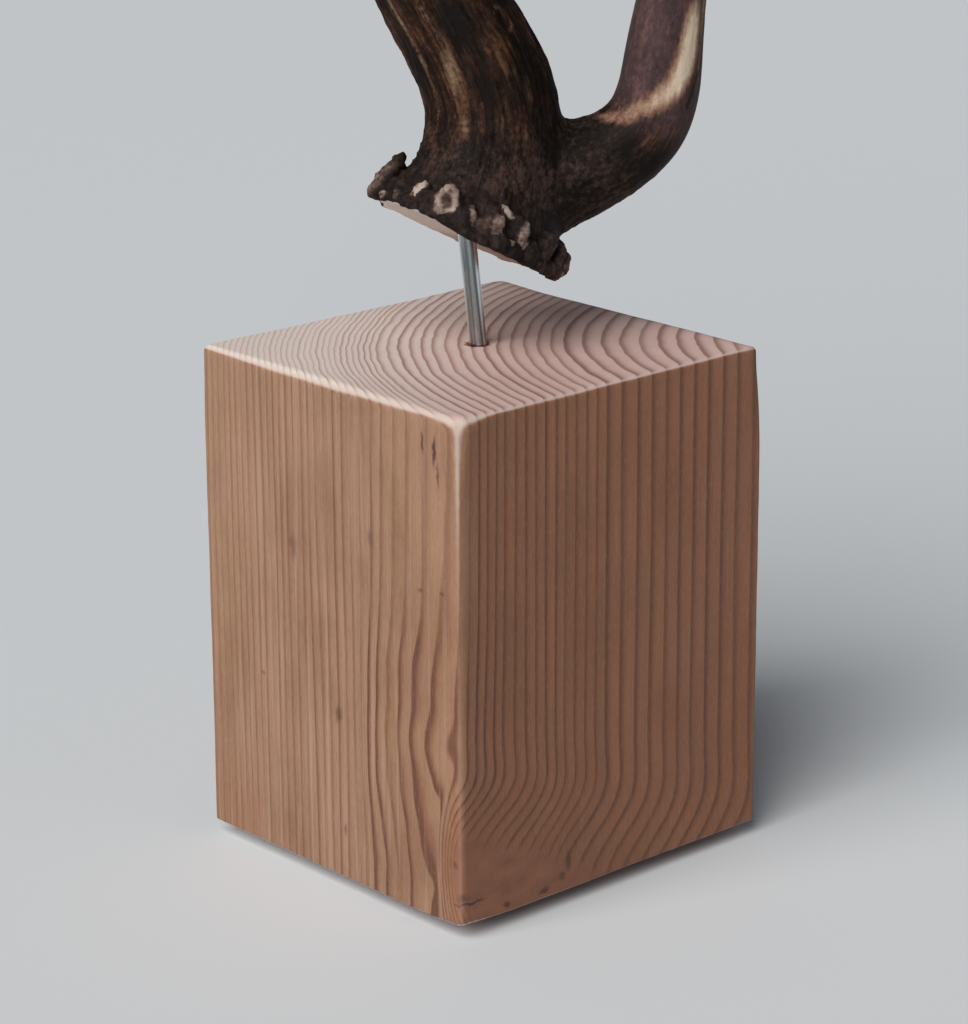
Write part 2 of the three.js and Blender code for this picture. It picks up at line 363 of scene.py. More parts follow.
# The second of the next three colours is painted shade, for the low part of the sides near the floor.
OCHRE_PATCH, LOW_PAINTED_SHADE, RESIN = (0.285, 0.118, 0.05), (0.10, 0.038, 0.02), (0.075, 0.03, 0.02)
DARK_FIBRE, DARK_FLECK = (0.19, 0.084, 0.046), (0.16, 0.07, 0.04)
PALE_FLECK, PALE_STREAK = (0.55, 0.35, 0.24), (0.50, 0.325, 0.235)
# Resin pockets, pin knots and smudges in the block's sides: middle and half size in mm, and how dark.
MARKS = [
    ((-58, -40.6, 136.0), (4, 0.55, 3.4), 0.9), ((-58, -45.4, 134.6), (4, 0.9, 4.8), 0.95),
    ((-58, -46.8, 127.5), (4, 0.4, 4.0), 0.7), ((-58, 15.0, 94.0), (4, 1.7, 5.0), 0.42),
    ((-58, -18.7, 104.0), (4, 1.4, 3.2), 0.36), ((-58, -3.6, 48.5), (4, 1.7, 2.9), 0.62),
    ((-58, -39.3, 94.0), (4, 1.2, 0.8), 0.6), ((-58, -48.0, 95.0), (4, 1.3, 0.7), 0.6),
    ((-58, 30.0, 52.0), (4, 0.9, 1.1), 0.4), ((-58, -6.0, 14.0), (4, 0.6, 2.0), 0.5),
    ((-58, -52.5, 18.0), (4, 0.8, 1.2), 0.6), ((-58, -54.0, 8.0), (4, 0.9, 1.6), 0.6),
    ((-54, -54, 6.0), (5.5, 4, 0.55), 0.95), ((-41, -54, 1.5), (1.6, 4, 1.2), 0.85),
    ((-27, -54, 1.5), (2.2, 4, 1.0), 0.8), ((-17.5, -54, 8.0), (1.4, 4, 3.6), 0.7),
    ((-20.0, -54, 4.0), (1.8, 4, 1.6), 0.6),
]


def softwood():
    """Growth rings round the heart, bent out along the branch, with dark late wood and pale early wood."""
    material, wire = new_material("sanded softwood")
    place = wire.make("VectorMath", {"operation": "SUBTRACT"}, {0: wire.place(), 1: (0, 0, BLOCK_FOOT)})
    x, y, z = place.parts()
    end_grain = wire.value("end_grain").rise(0.35, 0.8)
    rim = wire.value("rim")

    def stray(size, reach):
        return (place.noise(size, 1.0) - 0.5) * reach

    # Distance from the heart, with the slow wander of a real trunk and a swelling beside the branch.
    from_heart = ((x - HEART[0]) ** 2 + (y - HEART[1]) ** 2) ** 0.5
    swollen = (1 - y.rise(-26.0, -6.0)) * (1 - x.rise(-57.0, -30.0))
    bulge = ((z - SWELLING["z"]) / SWELLING["half"]) ** 2
    bulge = wire.math("EXPONENT", bulge * -1.0) * SWELLING["reach"]
    curls = stray(*CURLS) * (1 - z.rise(60.0, 100.0))

    # The branch: the rings swell outwards along it, and its own wood is plain and red.
    axis_height = (BRANCH["at_x"] - x) * BRANCH["slope"] + BRANCH["z"]
    up = (z - axis_height) * math.cos(math.atan(BRANCH["slope"]))
    aside = (y - BRANCH["y"]) * BRANCH["flatness"]
    from_branch = (up * up + aside * aside) ** 0.5
    across_grain = from_branch / ((x + 58.0) * 0.12 + 19.0)
    pull = wire.math("EXPONENT", across_grain ** 3 * -1.0) * BRANCH["pull"]
    shoulder = wire.math("EXPONENT", ((across_grain - 1.4) / 0.32) ** 2 * -1.0) * BRANCH["shoulder"]
    inside = 1 - (from_branch + (place.noise((6, 6, 6), 2.0) - 0.5) * 7.0).rise(
        BRANCH["radius"] - 3.5, BRANCH["radius"] + 4.0)

    radius = from_heart + stray(*WANDER) + stray(*RIPPLE) - (bulge + curls) * swollen - pull + shoulder
    ring = radius / GROWTH[0][1] + 20.0
    for (_, wide), (begun, narrow) in zip(GROWTH, GROWTH[1:]):
        ring = ring + wire.math("MAXIMUM", radius - begun, 0.0) * (1 / narrow - 1 / wide)
    share = wire.math("FRACT", ring)
    chance = wire.make("TexWhiteNoise", {"noise_dimensions": "1D"}, {"W": wire.math("FLOOR", ring)}, "Value")

    # How dark each ring's late wood is: less so in the outer wood and where hands have worn it.
    strength = 0.95 - radius.rise(148.0, 164.0) * 0.33 - radius.rise(170.0, 196.0) * 0.32
    sapwood = radius.rise(136.0, 156.0)
    dark_bands = swollen * (1 - z.rise(60.0, 92.0)) * (1 - (pull / 9.0).rise(0.0, 1.0))
    worn = (1 - x.rise(-57.0, -50.0)) * (1 - y.rise(-32.0, -8.0)) * z.rise(62.0, 100.0)
    strength = strength * (1 - worn * 0.5) + dark_bands * (chance * 1.6 - 0.1)
    strength = (chance * 0.5 + 0.65) * strength * (1 - inside * 0.9)
    late = share.rise(0.3, 0.8) * (1 - share.rise(0.9, 0.99)) * strength
    edge = share.rise(0.58, 0.88) * (1 - share.rise(0.91, 1.0)) * strength

    fibre = place.noise((0.6, 0.6, 30), 3.0, 0.6)
    streaks = place.noise((1.9, 1.9, 75), 2.0, 0.5)
    pores = place.noise((0.5, 0.5, 0.5), 2.0, 0.6)
    flecks = place.noise((0.45, 0.45, 2.4), 2.0, 0.7)
    clouds = place.noise((22, 22, 34), 3.0)

    # Along the grain, the sides: redder heartwood, then paler sapwood outside it.
    tone = clouds + (chance - 0.5) * 0.12
    side = tone.ramp(*HEARTWOOD).blend(sapwood, tone.ramp(*SAPWOOD))
    side = side.blend((1 - z.rise(4.0, 30.0)) * y.rise(16.0, 44.0) * clouds * 0.7, OCHRE_PATCH)
    # Painted shade: the sides darker towards the bottom, near the floor.
    side = side.blend((1 - z.rise(0.0, 60.0)) * 0.14, LOW_PAINTED_SHADE)
    side = side.blend(late * 0.68, LATE_WOOD).blend(edge * 0.88, RING_EDGE)
    side = side.blend((fibre - 0.5) * 1.1 + (streaks - 0.5) * 0.9 + 0.1, DARK_FIBRE)
    side = side.blend((flecks - 0.5) * 0.9, DARK_FLECK).blend((0.5 - flecks) * 0.6, PALE_FLECK)
    side = side.blend((streaks - 0.52) * (sapwood * 1.7 + 0.3), PALE_STREAK)
    side = side.blend(inside * 0.85, place.noise((9, 9, 5), 3.0).ramp(*KNOT_WOOD))
    uneven = wire.make("TexNoise", {}, {"Vector": place, "Scale": 0.4}, "Color")
    uneven = wire.make("VectorMath", {"operation": "MULTIPLY_ADD"}, {0: uneven, 1: (2, 2, 2), 2: place})
    for middle, half, dark in MARKS:
        away = wire.make("VectorMath", {"operation": "DISTANCE"}, {
            0: uneven.scaled(tuple(1 / h for h in half)), 1: tuple((m + 1) / h for m, h in zip(middle, half)),
        }, "Value")
        side = side.blend((1 - away.rise(0.35, 1.25)) * dark, RESIN)

    # Across the grain, the top and the underside, paler towards the far left: partly bleached wood, partly a
    # painted sheen of the light from that side.
    bleach_and_painted_sheen = (y - x).rise(-40.0, 80.0)
    across = tone.ramp(*END_WOOD).blend(bleach_and_painted_sheen * 0.9, BLEACH_AND_PAINTED_SHEEN)
    across = across.blend(late * (0.66 - bleach_and_painted_sheen * 0.22), END_LATE_WOOD)
    across = across.blend(edge * (0.72 - bleach_and_painted_sheen * 0.25), END_RING_EDGE)
    across = across.blend((pores - 0.5) * 0.8 + 0.06, END_PORE)
    colour = side.blend(end_grain, across)

    # Rims, where the sanding left the wood pale.
    scuff = place.noise((5, 5, 5), 3.0, 0.65)
    pale = (rim + scuff * 0.55 - 0.3).rise(0.25, 0.95) * (z.rise(95.0, 140.0) * 0.75 + 0.15)
    colour = colour.blend(pale * 0.75, SANDED_RIM)

    height = fibre * 0.3 - edge * end_grain * 0.4 + pores * (end_grain * 0.5 + 0.15)
    bump = wire.make("Bump", {}, {"Strength": 0.3, "Distance": 0.00012, "Height": height})
    finish_material(wire, {
        "Base Color": colour,
        "Roughness": 0.62 + fibre * 0.2 - late * 0.1,
        "Normal": bump,
    })
    return material


block.data.materials.clear()
block.data.materials.append(softwood())
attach(block, "root")
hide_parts("wood_block")

# ---- The pad -------------------------------------------------------------------------------------------
# A square of black rubber sheet glued under the block, well inside its edges, so that the block stands
# clear of the table with a dark gap all round.

PAD_CORNER = 6 * MM
PAD_RIM = 0.7 * MM
PAD_BULGE = 0.25 * MM  # of its walls, squeezed out by the block's weight


def pad_mesh():
    """The pad: a slab with round corners, its rims softened."""
    low, high = (np.array(corner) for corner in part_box("base_pad"))
    middle, half = (low + high) / 2, (high - low) / 2
    sides = [grid_places(-h, h, 0.25 * MM, 3 * MM, 1.25) for h in half[:2]]
    local, faces = box_surface(*sides, grid_places(-half[2], half[2], 0.2 * MM, 0.6 * MM, 1.3))
    inner = np.clip(local[:, :2], PAD_CORNER - half[:2], half[:2] - PAD_CORNER)
    out = local[:, :2] - inner
    reach = np.abs(out).max(axis=1)  # 0 inside the corners' squares, PAD_CORNER on the walls
    way = out / np.maximum(np.linalg.norm(out, axis=1), 1e-9)[:, None]
    beside = np.clip(reach - (PAD_CORNER - PAD_RIM), 0, None)
    above = np.clip(np.abs(local[:, 2]) - (half[2] - PAD_RIM), 0, None)
    round_off = np.maximum(beside, above) / np.maximum(np.hypot(beside, above), 1e-9)
    reach = reach - beside * (1 - round_off)
    bulge = PAD_BULGE * (1 - (local[:, 2] / half[2]) ** 2) * (reach > PAD_CORNER - PAD_RIM)
    height = local[:, 2] - np.sign(local[:, 2]) * above * (1 - round_off)
    points = np.column_stack([inner + way * (reach + bulge)[:, None], height])
    return new_object("rubber_pad", middle + points, faces)


def rubber():
    """Dull black sheet rubber, with a fine grain and a little dust."""
    material, wire = new_material("black rubber")
    grain = wire.place().noise((0.5, 0.5, 0.5), 3.0, 0.6)
    dust = wire.place().noise((9, 9, 3), 3.0, 0.6)
    colour = dust.ramp((0.35, (0.012, 0.012, 0.012)), (0.7, (0.035, 0.033, 0.031)))
    bump = wire.make("Bump", {}, {"Strength": 0.4, "Distance": 0.0002, "Height": grain})
    finish_material(wire, {"Base Color": colour, "Roughness": 0.78 + grain * 0.15, "Normal": bump})
    return material


pad = pad_mesh()
pad.data.materials.append(rubber())
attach(pad, "root")
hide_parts("base_pad")

# ---- The rod -------------------------------------------------------------------------------------------
# A length of bright drawn steel bar, its ends chamfered, pushed into the block's hole and the antler's.

ROD_CHAMFER = 0.5 * MM

rod_low, rod_high = -ROD["in_block"], ROD["showing"] + ROD["in_antler"]
rod = round_bar("bright_rod", rod_foot, rod_way, [
    (rod_low, ROD["radius"] - ROD_CHAMFER), (rod_low + ROD_CHAMFER, ROD["radius"]),
    *((d, ROD["radius"]) for d in np.linspace(rod_low + 2 * ROD_CHAMFER, rod_high - 2 * ROD_CHAMFER, 20)),
    (rod_high - ROD_CHAMFER, ROD["radius"]), (rod_high, ROD["radius"] - ROD_CHAMFER),
], sides=96)


def drawn_steel():
    """Bright steel with the fine lines of drawing along it, a few dull rubs, and painted reflections in light
    and dark bands along it.
    """
    material, wire = new_material("drawn steel")
    grain = wire.value("grain", "Vector").scaled((1000, 1000, 1000))
    lines = grain.noise((0.22, 0.22, 40), 3.0, 0.6)
    rubs = grain.noise((1.6, 1.6, 5), 3.0, 0.6)
    # Painted reflection: light and dark stripes along the rod, painted into its colour.
    painted_reflection_bands = grain.noise((1.5, 1.5, 90), 1.0, 0.5)
    colour = (painted_reflection_bands * 0.75 + lines * 0.15 + rubs * 0.1).ramp(
        (0.38, (0.16, 0.18, 0.185)), (0.48, (0.46, 0.49, 0.49)), (0.58, (0.80, 0.82, 0.81)))
    bump = wire.make("Bump", {}, {"Strength": 0.12, "Distance": 0.0001, "Height": lines})
    finish_material(wire, {
        "Base Color": colour, "Metallic": 1.0, "Roughness": 0.14 + rubs * 0.16 + lines * 0.08, "Normal": bump,
    })
    return material


upright = np.array(Vector((0, 0, 1)).rotation_difference(rod_way).inverted().to_matrix())
from_foot = corners_of(rod.data) - np.array(rod_foot)
set_values(rod.data, "grain", from_foot @ upright.T, "FLOAT_VECTOR")
rod.data.materials.append(drawn_steel())
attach(rod, "root")
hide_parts("steel_rod")

# ---- The antler ----------------------------------------------------------------------------------------
# One piece of grown bone, cast in spring: a beam with a brow tine low down, a tine half way and a fork at
# the top, a ring of pearls, the burr, round its foot, and a flat sawn face under it, drilled for the rod.
# Furrows that once held blood vessels run up it, stained almost black, and its tips are rubbed pale.

CUT_MIDDLE = np.array((-4.5, 0, 31))  # lengths in this section are mm in the antler's own frame
CUT_LEAN, CUT_TIP = math.radians(24), math.radians(16)  # of the cut's upward normal, towards +x and +y
cut_up = Vector((
    math.sin(CUT_LEAN) * math.cos(CUT_TIP), math.sin(CUT_TIP), math.cos(CUT_LEAN) * math.cos(CUT_TIP),
))
burr_turn = Vector((0, 0, 1)).rotation_difference(cut_up).to_matrix().to_4x4()
burr_frame = Matrix.Translation(CUT_MIDDLE) @ burr_turn

SAW_DEPTH = 6
BEAM_POINTS = [
    tuple(CUT_MIDDLE - SAW_DEPTH * np.array(cut_up)), tuple(CUT_MIDDLE),
    (0.6, 3.6, 44), (3.4, 6, 56), (3.0, 8, 69), (-1.6, 9.5, 81), (-9.4, 11, 95), (-28.4, 15, 128),
    (-52, 21, 174), (-76, 28, 232), (-91, 33, 298), (-95, 34, 366), (-88, 29, 434), (-71, 19, 499),
    (-48, 6, 560), (-22, -8, 618),
]
BROW_POINTS = [
    (4, 6, 43), (18, 8, 45.8), (30, 9, 49.2), (40.2, 9.5, 54.2), (47.3, 10, 61.2), (50.4, 10, 71),
    (51.5, 10, 81), (53.3, 10, 95), (56, 10, 112), (57.5, 9, 131), (57, 7, 150), (54, 4, 168), (49.5, 1, 184),
]
TREZ_POINTS = [(-70, 35, 314), (-44, 39, 338), (-24, 42, 374), (-12, 41, 419)]
FORK_POINTS = [(-84, 22, 532), (-95, 24, 572), (-98, 19, 612)]
TREZ_FOOT, FORK_FOOT = 0.475, 0.785  # shares of the beam's length
# Radius of each limb, at distances from its foot.
BEAM_RADII = [
    (0, 25.2), (6, 25.8), (12, 25.6), (16, 23.8), (21, 21.6), (30, 20.2), (42, 19.2), (56, 18.2), (78, 17.1),
    (200, 16.0), (310, 14.8), (400, 13.9), (480, 13.2), (530, 11.4), (570, 8.8), (605, 5.4), (630, 2.4),
]
BROW_RADII = [
    (0, 19), (10, 18), (18, 15.6), (28, 13.7), (38, 12.5), (50, 12.0), (66, 11.3), (82, 10.0), (110, 7.9),
    (140, 5.6), (165, 3.2), (174, 2),
]
TREZ_RADII = [(0, 13), (25, 11.2), (60, 9.4), (105, 6.6), (140, 3.4), (155, 1.8)]
FORK_RADII = [(0, 11), (30, 9.6), (65, 7.4), (100, 4), (120, 1.8)]
STATION = 0.8  # between the places at which a limb's middle line is kept
EVENED = 70  # times that its bends are evened out
ROOT = 42  # of a branch, the part that its fork is made of
TUBE_SIDES = 56


def smooth_through(pairs, at):
    """A smooth curve through pairs of a distance and a value, read at these distances."""
    places, values = np.array(pairs, float).T
    slopes = np.gradient(values, places)
    i = np.clip(np.searchsorted(places, at, "right") - 1, 0, len(places) - 2)
    gap = places[i + 1] - places[i]
    t = np.clip((at - places[i]) / gap, 0, 1)
    early = (1 + 2 * t) * (1 - t) ** 2 * values[i] + t * (1 - t) ** 2 * gap * slopes[i]
    return early + t**2 * (3 - 2 * t) * values[i + 1] - t**2 * (1 - t) * gap * slopes[i + 1]


class Limb:
    """A limb's middle line, the two axes across it at each station, and its radius there."""

    def __init__(self, points, radii, flutes, flute_depth, sawn=0):
        p = np.array(points, float)
        p = np.vstack([2 * p[0] - p[1], p, 2 * p[-1] - p[-2]])
        curve = []
        for a, b, c, d in zip(p, p[1:], p[2:], p[3:]):
            ab, bc, cd = (math.sqrt(np.linalg.norm(gap)) for gap in (b - a, c - b, d - c))
            leave = bc * ((b - a) / ab - (c - a) / (ab + bc) + (c - b) / bc)
            arrive = bc * ((c - b) / bc - (d - b) / (bc + cd) + (d - c) / cd)
            t = np.linspace(0, 1, 60, endpoint=False)[:, None]
            curve.append(
                b * (1 + 2 * t) * (1 - t) ** 2 + leave * t * (1 - t) ** 2
                + c * t**2 * (3 - 2 * t) - arrive * t**2 * (1 - t)
            )
        curve = np.vstack([*curve, p[-2:-1]])
        walked = np.r_[0, np.cumsum(np.linalg.norm(np.diff(curve, axis=0), axis=1))]
        self.length = walked[-1]
        self.along = np.linspace(0, self.length, round(self.length / STATION) + 1)
        self.middle = np.column_stack([np.interp(self.along, walked, column) for column in curve.T])
        for _ in range(EVENED):
            self.middle[1:-1] = (self.middle[:-2] + 2 * self.middle[1:-1] + self.middle[2:]) / 4
        self.ahead = np.gradient(self.middle, axis=0)
        self.ahead /= np.linalg.norm(self.ahead, axis=1, keepdims=True)
        self.bend = np.gradient(self.ahead, self.along, axis=0)
        side = np.array((1.0, 0, 0))
        sides = []
        for way in self.ahead:
            side = side - way * (side @ way)
            side /= np.linalg.norm(side)
            sides.append(side)
        self.side = np.array(sides)
        self.over = np.cross(self.ahead, self.side)
        thick = smooth_through(radii, np.minimum(self.along, radii[-1][0]))
        tip = np.clip((self.length - self.along) / thick[-1], 0, 1)
        self.radius = thick * np.sqrt(1 - (1 - tip) ** 2)  # a round end
        self.flutes, self.flute_depth, self.sawn = flutes, flute_depth, sawn

    def place(self, share):
        """The point of the middle line at that share of its length."""
        return tuple(self.middle[round(share * (len(self.middle) - 1))])

    def tube(self):
        """Corners and faces of the limb as a plain closed tube."""
        keep = np.arange(0, len(self.along))
        keep = keep[((keep % 2 == 0) | (keep > len(keep) - 6)) & (self.along >= self.sawn)]
        turn = np.linspace(0, 2 * math.pi, TUBE_SIDES, endpoint=False)
        radius = np.maximum(self.radius[keep], 0.15)[:, None, None]
        across = self.side[keep][:, None] * np.cos(turn)[:, None]
        across = across + self.over[keep][:, None] * np.sin(turn)[:, None]
        rings = self.middle[keep][:, None] + radius * across
        if self.sawn:  # the first ring lies in the sawn face
            rings[0] -= ((rings[0] - CUT_MIDDLE) @ np.array(cut_up))[:, None] * np.array(cut_up)
        i, j = np.meshgrid(np.arange(len(keep) - 1), np.arange(TUBE_SIDES), indexing="ij")
        a, b = i * TUBE_SIDES + j, i * TUBE_SIDES + (j + 1) % TUBE_SIDES
        walls = np.stack([a, b, b + TUBE_SIDES, a + TUBE_SIDES], axis=-1).reshape(-1, 4).tolist()
        last = (len(keep) - 1) * TUBE_SIDES
        caps = [list(range(TUBE_SIDES))[::-1], [last + n for n in range(TUBE_SIDES)]]
        return rings.reshape(-1, 3), walls + caps

    def read(self, points):
        """For each point: how far along the limb it is, its angle round it, and its height over its skin."""
        nearest = np.empty(len(points), int)
        for first in range(0, len(points), 20000):
            some = points[first:first + 20000]
            apart = (self.middle**2).sum(axis=1) - 2 * some @ self.middle.T
            nearest[first:first + 20000] = apart.argmin(axis=1)
        away = points - self.middle[nearest]
        step = np.einsum("ij,ij->i", away, self.ahead[nearest])
        x = np.einsum("ij,ij->i", away, self.side[nearest])
        y = np.einsum("ij,ij->i", away, self.over[nearest])
        stretch = np.clip(1 - np.einsum("ij,ij->i", away, self.bend[nearest]), 0.3, 3)
        along = np.clip(self.along[nearest] + step / stretch, 0, self.length)
        height = np.hypot(np.hypot(x, y), np.clip(np.abs(step) - STATION, 0, None))
        return along, np.arctan2(y, x), height - np.interp(along, self.along, self.radius)

    def over_root(self, points):
        """How high each point lies over the limb's root."""
        least = np.full(len(points), 1e3)
        for i in range(0, round(ROOT / STATION), 3):
            least = np.minimum(least, np.linalg.norm(points - self.middle[i], axis=1) - self.radius[i])
        return least


beam = Limb(BEAM_POINTS, BEAM_RADII, 7, 0.45, SAW_DEPTH)
brow = Limb(BROW_POINTS, BROW_RADII, 5, 0.2)
trez = Limb([beam.place(TREZ_FOOT), *TREZ_POINTS], TREZ_RADII, 5, 0.35)
fork = Limb([beam.place(FORK_FOOT), *FORK_POINTS], FORK_RADII, 5, 0.3)
limbs = [beam, brow, trez, fork]

# The burr's pearls. Angles go round it from the brow tine's side, heights are above the cut.
# In front: angle, distance from the middle, height, half size outward, round and up, how far its top leans
# onward and inward in degrees, how pale it is (worn, but a painted glint for the pearls at 286.5 and 295
# degrees), and how deep the hollow in its middle is.
FRONT_PEARLS = [
    (185, 28.0, 2.2, 2.9, 4.8, 2.9, 0, 15, 0.5, 0), (187, 27.2, 6.4, 2.6, 4.8, 5.2, 0, 12, 0.55, 0),
    (189, 25.9, 10.8, 2.1, 3.8, 4.8, 0, 8, 0.3, 0), (198, 27.0, 1.4, 1.3, 2.0, 1.4, 0, 0, 0.85, 0),
    (204, 25.0, 5.0, 1.8, 3.4, 3.4, 10, 0, 0.05, 0), (212, 26.2, 2.4, 1.4, 1.6, 2.0, 0, 0, 0.5, 0),
    (223, 25.8, 1.6, 1.8, 3.6, 2.4, 0, 0, 0.0, 0), (228, 25.8, 5.9, 1.3, 1.8, 4.0, 36, 0, 0.9, 0),
    (236, 25.6, 3.8, 2.0, 3.4, 3.2, 0, 0, 0.05, 0), (241, 26.0, 0.6, 1.7, 3.2, 1.9, 0, 0, 0.1, 0),
    (250, 25.9, 5.4, 2.3, 3.8, 5.0, -6, 0, 0.8, 1.1), (255, 26.6, -0.4, 2.2, 2.8, 3.0, 0, 0, 0.05, 0),
    (263, 26.2, 2.4, 2.6, 3.2, 4.0, 8, 0, 0.0, 0), (267, 26.7, 4.4, 1.6, 1.5, 3.5, -14, 0, 0.6, 0),
    (270, 26.2, -0.6, 2.2, 3.2, 2.4, 0, 0, 0.0, 0), (276, 26.2, 3.3, 1.9, 2.2, 3.6, 6, 0, 0.35, 0),
    (278, 25.0, 8.4, 1.7, 2.6, 2.2, 0, 8, 0.0, 0), (279, 26.4, -0.8, 2.0, 2.6, 2.4, 0, 0, 0.1, 0),
    # Painted highlights: the paleness of the pearls at 286.5 and 295 degrees, below, is a glint, not wear.
    (283.5, 26.2, 4.8, 1.9, 2.2, 3.4, -4, 0, 0.55, 0), (286.5, 25.2, 9.6, 1.3, 1.4, 3.0, -56, 0, 0.9, 0),
    (289, 26.5, 0.2, 2.4, 3.2, 3.0, 0, 0, 0.05, 0), (295, 27.4, 1.6, 1.0, 1.4, 1.3, 0, 0, 0.75, 0),
    (297, 25.4, 8.2, 1.6, 2.2, 2.2, 0, 8, 0.1, 0), (299, 26.5, -0.6, 2.2, 3.0, 2.6, 0, 0, 0.0, 0),
    (302, 26.2, 5.2, 1.8, 2.0, 4.8, -12, 0, 0.7, 0), (312, 26.4, 0.8, 2.7, 3.4, 4.2, 0, 0, 0.05, 0),
    (323, 26.6, -0.6, 2.2, 3.0, 2.8, 0, 0, 0.3, 0), (325, 26.2, 5.4, 2.3, 3.2, 4.8, 8, 0, 0.4, 0),
    (334, 26.8, 0.0, 2.4, 3.2, 3.0, 0, 0, 0.25, 0), (342, 26.8, 4.6, 2.2, 2.6, 4.0, 0, 0, 0.35, 0),
    (347, 27.2, 0.2, 2.4, 3.4, 3.2, 0, 0, 0.35, 0), (357, 27.4, 3.0, 2.6, 4.0, 4.2, 0, -4, 0.7, 0),
]
BACK_PEARLS = {"count": 17, "from": 9, "to": 175, "distance": 25.6, "height": 4.9, "size": 3.4}


def pearl_list():
    """Each pearl's place in the burr's frame, its half sizes, its leans, its paleness and its hollow."""
    pearls = [(*row[:3], row[3:6], *row[6:]) for row in FRONT_PEARLS]
    back = BACK_PEARLS
    for i in range(back["count"]):
        share = (i + 0.2 * math.sin(i * 2.4)) / (back["count"] - 1)
        angle = back["from"] + (back["to"] - back["from"]) * share
        height = back["height"] + 1.2 * math.cos(i * 2.9)
        size = back["size"] * (1 + 0.2 * math.sin(i * 4.1))
        halves = (0.8 * size, size, 1.2 * size)
        onward, pale = 20 * math.sin(i * 1.7), 0.45 + 0.5 * math.sin(i * 5.3)
        pearls.append((angle, back["distance"], height, halves, onward, 0, pale, 0))
    return pearls


def pearl_turn(angle, onward, inward):
    """The way a pearl is turned in the burr's frame: its x points out of the skin and its z up."""
    turn = Matrix.Rotation(math.radians(angle), 3, "Z") @ Matrix.Rotation(math.radians(-onward), 3, "X")
    return turn @ Matrix.Rotation(math.radians(-inward), 3, "Y")


def pearl_points():
    """The pearls as a mesh of points that carry each one's size and turn."""
    pearls = pearl_list()
    places, sizes, turns = [], [], []
    for angle, distance, height, halves, onward, inward, _pale, _hollow in pearls:
        a = math.radians(angle)
        turns.append(tuple((burr_frame.to_3x3() @ pearl_turn(angle, onward, inward)).to_euler()))
        places.append(tuple(burr_frame @ Vector((distance * math.cos(a), distance * math.sin(a), height))))
        sizes.append(halves)
    thing = new_object("pearls", places, [])
    set_values(thing.data, "size", sizes, "FLOAT_VECTOR")
    set_values(thing.data, "turn", turns, "FLOAT_VECTOR")
    return thing


# How large the pearls grow, how much one differs from the next, and what chance goes by.
PEARL_INPUTS = {"Growth": 1.0, "Unevenness": 0.08, "Seed": 5}


def pearl_tree():
    """A round pearl on each point, of the point's own size and turn, a little uneven."""
    tree = bpy.data.node_groups.new("pearls", "GeometryNodeTree")
    kinds = {"Growth": "Float", "Unevenness": "Float", "Seed": "Int", "Material": "Material"}
    for name, kind in {"Geometry": "Geometry", **kinds}.items():
        tree.interface.new_socket(name, in_out="INPUT", socket_type="NodeSocket" + kind)
    tree.interface.new_socket("Geometry", in_out="OUTPUT", socket_type="NodeSocketGeometry")

    def node(kind, settings=None, **links):
        made = tree.nodes.new(kind)
        for key, value in (settings or {}).items():
            setattr(made, key, value)
        for key, value in links.items():
            socket = made.inputs[key.replace("_", " ")]
            if isinstance(value, bpy.types.NodeSocket):
                tree.links.new(value, socket)
            else:
                socket.default_value = value
        return made

    given = node("NodeGroupInput")
    pearl = node("GeometryNodeMeshIcoSphere", Radius=1.0, Subdivisions=4)
    size = node("GeometryNodeInputNamedAttribute", {"data_type": "FLOAT_VECTOR"}, Name="size")
    turn = node("GeometryNodeInputNamedAttribute", {"data_type": "FLOAT_VECTOR"}, Name="turn")
    factor = node("FunctionNodeRandomValue", {"data_type": "FLOAT"}, Seed=given.outputs["Seed"])
    for operation, socket in (("SUBTRACT", 2), ("ADD", 3)):  # the least factor and the largest
        limit = node("ShaderNodeMath", {"operation": operation})
        tree.links.new(given.outputs["Growth"], limit.inputs[0])
        tree.links.new(given.outputs["Unevenness"], limit.inputs[1])
        tree.links.new(limit.outputs[0], factor.inputs[socket])
    scale = node("ShaderNodeVectorMath", {"operation": "SCALE"})
    tree.links.new(size.outputs[0], scale.inputs[0])
    tree.links.new(factor.outputs[1], scale.inputs["Scale"])
    placed = node("GeometryNodeInstanceOnPoints", Points=given.outputs["Geometry"],
                  Instance=pearl.outputs["Mesh"], Rotation=turn.outputs[0], Scale=scale.outputs[0])
    real = node("GeometryNodeRealizeInstances", Geometry=placed.outputs["Instances"])
    painted = node("GeometryNodeSetMaterial", Geometry=real.outputs["Geometry"],
                   Material=given.outputs["Material"])
    node("NodeGroupOutput", Geometry=painted.outputs["Geometry"])
    return tree


def grown_pearls(material):
    """All the pearls, as one mesh."""
    thing = pearl_points()
    modifier = thing.modifiers.new("pearls", "NODES")
    modifier.node_group = pearl_tree()
    inputs = {**PEARL_INPUTS, "Material": material}
    for item in modifier.node_group.interface.items_tree:
        if item.in_out == "INPUT" and item.name in inputs:
            modifier[item.identifier] = inputs[item.name]
    bake_modifiers(thing)
    return thing


BEAM, BROW = 0, 1  # places in the list of limbs
SKIN_RUNS_OUT = {"lift": 2.5, "from": 14, "to": 36}  # of the beam's skin, out on to the brow tine


def read_limbs(points):
    """The limb that each point is on, where on it, and how far the point is from a fork."""
    readings = [limb.read(points) for limb in limbs]
    heights = np.array([reading[2] for reading in readings])
    gap = np.min([np.maximum(heights[BEAM], limb.over_root(points)) for limb in limbs[1:]], axis=0)
    out = smooth(SKIN_RUNS_OUT["from"], SKIN_RUNS_OUT["to"], readings[BROW][0])
    heights[BROW] += SKIN_RUNS_OUT["lift"] * (1 - out)
    owner = heights.argmin(axis=0)
    chosen = np.arange(len(points))
    along = np.array([reading[0] for reading in readings])[owner, chosen]
    angle = np.array([reading[1] for reading in readings])[owner, chosen]
    return owner, along, angle, gap


